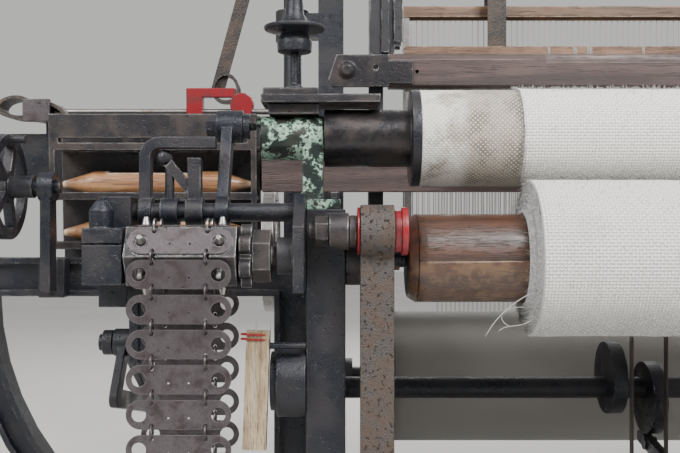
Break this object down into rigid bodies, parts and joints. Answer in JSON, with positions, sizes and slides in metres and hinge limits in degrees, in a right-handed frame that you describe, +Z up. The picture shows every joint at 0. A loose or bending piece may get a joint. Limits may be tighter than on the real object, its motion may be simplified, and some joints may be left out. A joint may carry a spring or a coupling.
{
  "type": "power loom",
  "caption": "Overpick power loom with drop shuttle boxes, card-chain box motion, healds, reed and take-up, weaving plain canvas",
  "frame": {"origin": "on the floor, under the middle of the overall box", "axes": "+X runs along the cloth to the driven side, +Y from the weaver towards the warp beam, +Z is up"},
  "size_m": [2.47, 1.3046, 1.47],
  "materials": {
    "iron": "dark blue-grey, oily and worn",
    "worn_iron": "dark iron rubbed bare at the edges",
    "rust": "pitted brown rust",
    "steel": "dull used steel",
    "wood": "worn brown varnish",
    "cloth": "undyed canvas",
    "warp": "undyed threads",
    "roller_cover": "grey-beige woven fillet",
    "leather": "oiled dark leather",
    "red_paint": "worn red paint",
    "green_paint": "chipped pale green paint"
  },
  "bodies": {
    "frame": {"side_frame_left": "iron", "side_frame_right": "iron", "cross_rails": "iron", "top_arch": "iron", "outrigger_left": "iron", "outrigger_right": "iron", "takeup_bearings": "green_paint", "bearing_plates": "worn_iron", "roller_blocks": "worn_iron", "hanger_bars": "rust", "red_spools": "red_paint", "shaft_brackets": "iron", "heald_guides": "iron", "back_rest": "worn_iron", "brake_rope": "cloth", "bobbin_stand": "iron", "card_bracket": "iron", "lever_shaft": "iron", "wooden_strip": "wood", "frame_bolts": "worn_iron", "cloth": "cloth", "warp_front": "warp", "warp_rear": "warp", "heald_straps": "leather"},
    "sley": {"swords": "iron", "sley_beam": "wood", "reed": "steel", "reed_cap": "wood", "cap_plates": "worn_iron", "box_guides": "iron", "picker_spindles": "steel"},
    "drop_box": {"drop_box": "worn_iron", "shuttles": "wood"},
    "picker_left": {"picker_left": "red_paint", "strap_left": "leather"},
    "picker_right": {"picker_right": "red_paint", "strap_right": "leather"},
    "crank": {"crankshaft": "steel"},
    "loose_pulley": {"loose_pulley": "worn_iron"},
    "crank_arm_left": {"crank_arm_left": "wood"},
    "crank_arm_right": {"crank_arm_right": "wood"},
    "bottom_shaft": {"bottom_shaft": "iron"},
    "treadle_front": {"treadle_front": "iron"},
    "treadle_rear": {"treadle_rear": "iron"},
    "heald_front": {"heald_front": "wood"},
    "heald_rear": {"heald_rear": "wood"},
    "top_roller": {"top_roller": "steel"},
    "picking_stick_left": {"picking_stick_left": "iron"},
    "picking_stick_right": {"picking_stick_right": "iron"},
    "takeup_roller": {"takeup_roller": "roller_cover"},
    "cloth_roller": {"cloth_roller": "cloth"},
    "warp_beam": {"warp_beam": "warp"},
    "brake_lever": {"brake_lever": "iron"},
    "card_cylinder": {"card_cylinder": "steel"},
    "card_chain_front": {"card_chain_front": "steel"},
    "card_chain_rear": {"card_chain_rear": "steel"},
    "reading_levers": {"reading_levers": "iron"},
    "handwheel": {"handwheel": "iron"},
    "box_lever": {"box_lever": "iron"},
    "starting_handle": {"starting_handle": "steel"}
  },
  "joints": [
    {"name": "sley_swing", "type": "hinge", "parent": "frame", "child": "sley", "pos_m": [0, -0.12, 0.15], "axis": [-1, 0, 0], "range_deg": [0, 10.5]},
    {"name": "crank_turn", "type": "hinge", "parent": "frame", "child": "crank", "pos_m": [0, 0.25, 0.7], "axis": [1, 0, 0], "continuous": true},
    {"name": "loose_pulley_turn", "type": "hinge", "parent": "crank", "child": "loose_pulley", "pos_m": [0.825, 0.25, 0.7], "axis": [1, 0, 0], "continuous": true},
    {"name": "crank_arm_left_turn", "type": "hinge", "parent": "crank", "child": "crank_arm_left", "pos_m": [-0.512, 0.2, 0.7], "axis": [1, 0, 0], "continuous": true},
    {"name": "crank_arm_right_turn", "type": "hinge", "parent": "crank", "child": "crank_arm_right", "pos_m": [0.512, 0.2, 0.7], "axis": [1, 0, 0], "continuous": true},
    {"name": "bottom_shaft_turn", "type": "hinge", "parent": "frame", "child": "bottom_shaft", "pos_m": [0, 0.2, 0.41637], "axis": [1, 0, 0], "continuous": true},
    {"name": "takeup_turn", "type": "hinge", "parent": "frame", "child": "takeup_roller", "pos_m": [0, -0.472, 0.87], "axis": [1, 0, 0], "continuous": true},
    {"name": "cloth_roll_turn", "type": "hinge", "parent": "frame", "child": "cloth_roller", "pos_m": [0, -0.53, 0.709], "axis": [1, 0, 0], "continuous": true},
    {"name": "warp_beam_turn", "type": "hinge", "parent": "frame", "child": "warp_beam", "pos_m": [0, 0.465, 0.4], "axis": [1, 0, 0], "continuous": true},
    {"name": "heald_front_lift", "type": "slide", "parent": "frame", "child": "heald_front", "axis": [0, 0, 1], "range_m": [0, 0.086], "deforming": ["heald_straps", "warp_front"]},
    {"name": "heald_rear_lift", "type": "slide", "parent": "frame", "child": "heald_rear", "axis": [0, 0, 1], "range_m": [-0.086, 0], "deforming": ["warp_rear"]},
    {"name": "top_roller_turn", "type": "hinge", "parent": "frame", "child": "top_roller", "pos_m": [0, 0.08, 1.35], "axis": [1, 0, 0], "range_deg": [-247, 0]},
    {"name": "treadle_front_turn", "type": "hinge", "parent": "frame", "child": "treadle_front", "pos_m": [-0.04, -0.4, 0.215], "axis": [1, 0, 0], "range_deg": [0, 10.5]},
    {"name": "treadle_rear_turn", "type": "hinge", "parent": "frame", "child": "treadle_rear", "pos_m": [0.04, -0.4, 0.215], "axis": [1, 0, 0], "range_deg": [-10.5, 0]},
    {"name": "picking_stick_left_swing", "type": "hinge", "parent": "frame", "child": "picking_stick_left", "pos_m": [-0.697, 0.135, 1], "axis": [0, 0, -1], "range_deg": [0, 20]},
    {"name": "picking_stick_right_swing", "type": "hinge", "parent": "frame", "child": "picking_stick_right", "pos_m": [0.697, 0.135, 1], "axis": [0, 0, 1], "range_deg": [0, 20]},
    {"name": "picker_left_slide", "type": "slide", "parent": "sley", "child": "picker_left", "axis": [-1, 0, 0], "range_m": [0, 0.1]},
    {"name": "picker_right_slide", "type": "slide", "parent": "sley", "child": "picker_right", "axis": [1, 0, 0], "range_m": [0, 0.1]},
    {"name": "box_lift", "type": "slide", "parent": "sley", "child": "drop_box", "axis": [0, -0.0663, 0.9978], "range_m": [0, 0.162]},
    {"name": "box_lever_turn", "type": "hinge", "parent": "frame", "child": "box_lever", "pos_m": [-0.914, -0.39, 0.582], "axis": [1, 0, 0], "range_deg": [0, 37]},
    {"name": "card_cylinder_turn", "type": "hinge", "parent": "frame", "child": "card_cylinder", "pos_m": [-0.793, -0.6, 0.714], "axis": [1, 0, 0], "range_deg": [-30, 30]},
    {"name": "card_chain_front_swing", "type": "hinge", "parent": "card_cylinder", "child": "card_chain_front", "pos_m": [-0.793, -0.6429, 0.714], "axis": [1, 0, 0], "range_deg": [-30, 30]},
    {"name": "card_chain_rear_swing", "type": "hinge", "parent": "card_cylinder", "child": "card_chain_rear", "pos_m": [-0.793, -0.5571, 0.714], "axis": [1, 0, 0], "range_deg": [-30, 30]},
    {"name": "reading_levers_turn", "type": "hinge", "parent": "frame", "child": "reading_levers", "pos_m": [-0.804, -0.545, 0.768], "axis": [1, 0, 0], "range_deg": [0, 8]},
    {"name": "handwheel_turn", "type": "hinge", "parent": "frame", "child": "handwheel", "pos_m": [-1.09, -0.33, 0.81], "axis": [1, 0, 0], "continuous": true},
    {"name": "starting_handle_turn", "type": "hinge", "parent": "frame", "child": "starting_handle", "pos_m": [0.665, -0.545, 0.56], "axis": [1, 0, 0], "range_deg": [-8, 12]},
    {"name": "brake_lever_turn", "type": "hinge", "parent": "frame", "child": "brake_lever", "pos_m": [0.522, 0.27, 0.19], "axis": [1, 0, 0], "range_deg": [0, 3], "deforming": ["brake_rope"]}
  ],
  "couplings": [
    {"joint": "crank_arm_left_turn", "follows": "crank_turn", "ratio": -1},
    {"joint": "crank_arm_right_turn", "follows": "crank_turn", "ratio": -1},
    {"joint": "bottom_shaft_turn", "follows": "crank_turn", "ratio": -0.5},
    {"joint": "cloth_roll_turn", "follows": "takeup_turn", "ratio": -0.645},
    {"joint": "heald_rear_lift", "follows": "heald_front_lift", "ratio": -1},
    {"joint": "top_roller_turn", "follows": "heald_front_lift", "rad_per_m": -50},
    {"joint": "treadle_front_turn", "follows": "heald_front_lift", "rad_per_m": 2.072},
    {"joint": "treadle_rear_turn", "follows": "heald_front_lift", "rad_per_m": -2.072},
    {"joint": "picker_left_slide", "follows": "picking_stick_left_swing", "m_per_rad": 0.285},
    {"joint": "picker_right_slide", "follows": "picking_stick_right_swing", "m_per_rad": 0.285},
    {"joint": "box_lever_turn", "follows": "box_lift", "rad_per_m": 3.97},
    {"joint": "card_chain_front_swing", "follows": "card_cylinder_turn", "ratio": -1},
    {"joint": "card_chain_rear_swing", "follows": "card_cylinder_turn", "ratio": -1}
  ]
}
